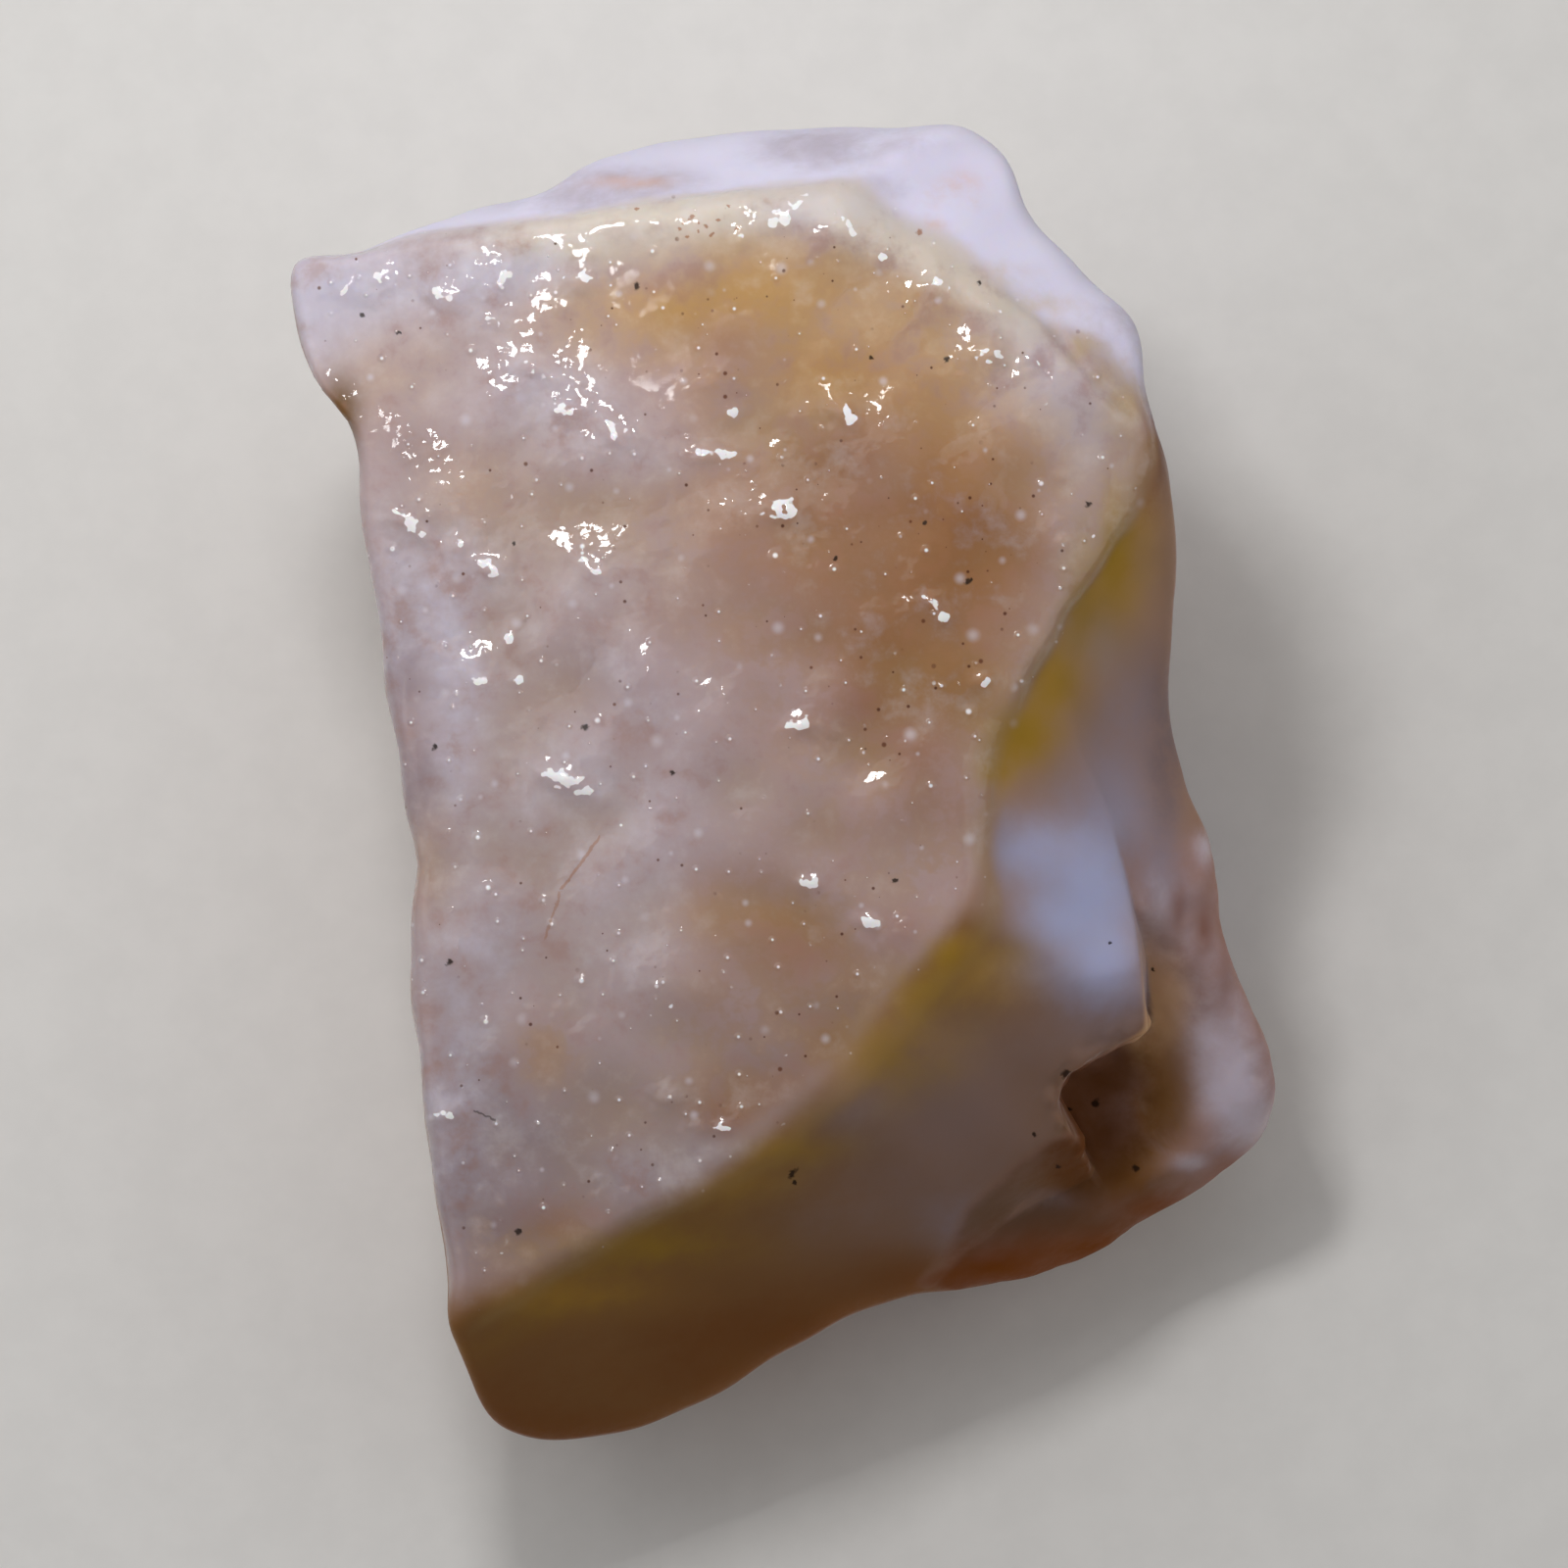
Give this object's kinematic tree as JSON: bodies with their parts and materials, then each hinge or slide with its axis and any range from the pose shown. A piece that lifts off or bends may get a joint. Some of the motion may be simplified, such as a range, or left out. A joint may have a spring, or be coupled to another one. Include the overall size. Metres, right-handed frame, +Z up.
{
  "type": "rough opal",
  "caption": "Rough lump of milky cream and pink common opal with a glossy lumpy rind face, smooth broken sides, a stepped ledge and a brown pocket, lying on a flat break.",
  "frame": {"origin": "middle of the stone's bounding box seen from above, on the flat break it rests on", "axes": "+Z up, away from the flat break; +Y along the stone's length towards its milky white top edge; +X across its width towards the stepped ledge"},
  "size_m": [0.0166, 0.0214, 0.0107],
  "materials": {
    "opal": "wet-looking gloss on the rind, smooth waxy gloss on the breaks"
  },
  "bodies": {
    "root": {"rough_opal": "opal"}
  },
  "joints": []
}
